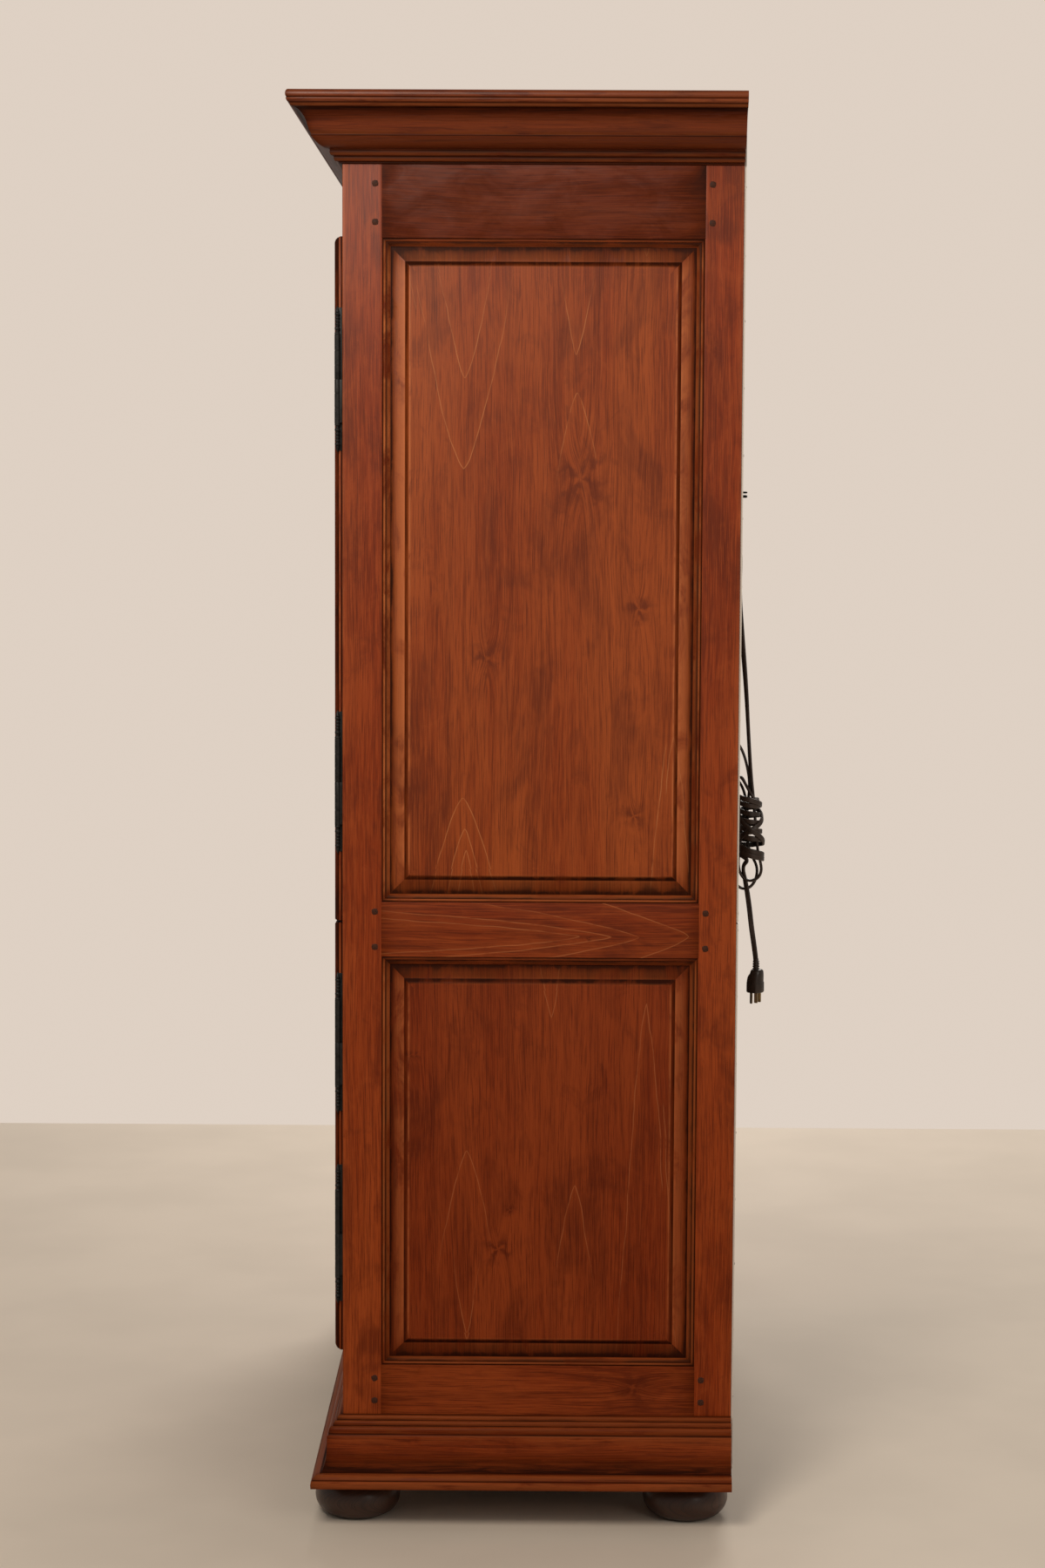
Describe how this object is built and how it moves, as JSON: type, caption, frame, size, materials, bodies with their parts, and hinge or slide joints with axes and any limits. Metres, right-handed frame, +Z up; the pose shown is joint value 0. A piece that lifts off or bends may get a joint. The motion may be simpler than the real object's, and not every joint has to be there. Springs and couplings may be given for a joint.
{
  "type": "tv armoire",
  "caption": "Tall wooden television armoire with frame-and-panel sides, raised-panel doors on black finial hinges, coved cornice, moulded base, bun feet and a rear power cord.",
  "frame": {"origin": "on the floor under the middle of the outline, the free cord left out", "axes": "+X to the right of somebody facing the front, -Y out of the front, +Z up"},
  "size_m": [1.3742, 0.7521, 2.134],
  "materials": {
    "frame_wood": "satin antiqued reddish-brown stain with dark glaze in the recesses",
    "panel_wood": "satin antiqued reddish-brown stain, pale figure, dark knots",
    "moulding_wood": "satin antiqued dark reddish-brown stain",
    "inner_wood": "satin stained veneer",
    "foot_wood": "satin dark brown stain",
    "peg_wood": "dark stained end grain",
    "hardboard": "dull hardboard",
    "black_metal": "semi-gloss black",
    "pin_steel": "zinc plated",
    "blade_brass": "plain",
    "brown_plastic": "moulded",
    "strip_plastic": "moulded",
    "black_plastic": "moulded",
    "cord_vinyl": "soft ribbed vinyl"
  },
  "bodies": {
    "carcass": {"base_frame": "inner_wood", "bottom_rail": "frame_wood", "bun_feet": "foot_wood", "cord_bushing": "black_plastic", "cord_drop": "cord_vinyl", "cord_hank": "cord_vinyl", "cord_hook": "black_plastic", "cord_tail": "cord_vinyl", "door_catches": "brown_plastic", "floor_board": "inner_wood", "frieze_rail": "frame_wood", "front_base_moulding": "moulding_wood", "front_cornice": "moulding_wood", "hinge_frame_halves": "black_metal", "joint_pegs": "peg_wood", "left_base_moulding": "moulding_wood", "left_cornice": "moulding_wood", "left_side_lower_panel": "panel_wood", "left_side_panel_mouldings": "frame_wood", "left_side_rails": "frame_wood", "left_side_stiles": "frame_wood", "left_side_upper_panel": "panel_wood", "lower_adjustable_shelf": "inner_wood", "lower_back_panel": "hardboard", "middle_rail": "frame_wood", "outlet_strip": "strip_plastic", "plug": "black_plastic", "plug_blades": "blade_brass", "right_base_moulding": "moulding_wood", "right_cornice": "moulding_wood", "right_side_lower_panel": "panel_wood", "right_side_panel_mouldings": "frame_wood", "right_side_rails": "frame_wood", "right_side_stiles": "frame_wood", "right_side_upper_panel": "panel_wood", "shelf_pins": "pin_steel", "top_board": "inner_wood", "tv_shelf": "inner_wood", "upper_adjustable_shelf": "inner_wood", "upper_back_panel": "hardboard"},
    "upper_right_door": {"upper_right_door_frame": "frame_wood", "upper_right_door_hinge_halves": "black_metal", "upper_right_door_knob_and_strike": "black_metal", "upper_right_door_moulding": "frame_wood", "upper_right_door_panel": "panel_wood"},
    "upper_left_door": {"upper_left_door_frame": "frame_wood", "upper_left_door_hinge_halves": "black_metal", "upper_left_door_knob_and_strike": "black_metal", "upper_left_door_moulding": "frame_wood", "upper_left_door_panel": "panel_wood"},
    "lower_right_door": {"lower_right_door_frame": "frame_wood", "lower_right_door_hinge_halves": "black_metal", "lower_right_door_knob_and_strike": "black_metal", "lower_right_door_moulding": "frame_wood", "lower_right_door_panel": "panel_wood"},
    "lower_left_door": {"lower_left_door_frame": "frame_wood", "lower_left_door_hinge_halves": "black_metal", "lower_left_door_knob_and_strike": "black_metal", "lower_left_door_moulding": "frame_wood", "lower_left_door_panel": "panel_wood"}
  },
  "joints": [
    {"name": "upper_right_door_hinge", "type": "hinge", "parent": "carcass", "child": "upper_right_door", "pos_m": [0.606, -0.2878, 1.428], "axis": [0, 0, 1], "range_deg": [0, 180]},
    {"name": "upper_left_door_hinge", "type": "hinge", "parent": "carcass", "child": "upper_left_door", "pos_m": [-0.606, -0.2878, 1.428], "axis": [0, 0, -1], "range_deg": [0, 180]},
    {"name": "lower_right_door_hinge", "type": "hinge", "parent": "carcass", "child": "lower_right_door", "pos_m": [0.606, -0.2878, 0.5935], "axis": [0, 0, 1], "range_deg": [0, 180]},
    {"name": "lower_left_door_hinge", "type": "hinge", "parent": "carcass", "child": "lower_left_door", "pos_m": [-0.606, -0.2878, 0.5935], "axis": [0, 0, -1], "range_deg": [0, 180]}
  ]
}
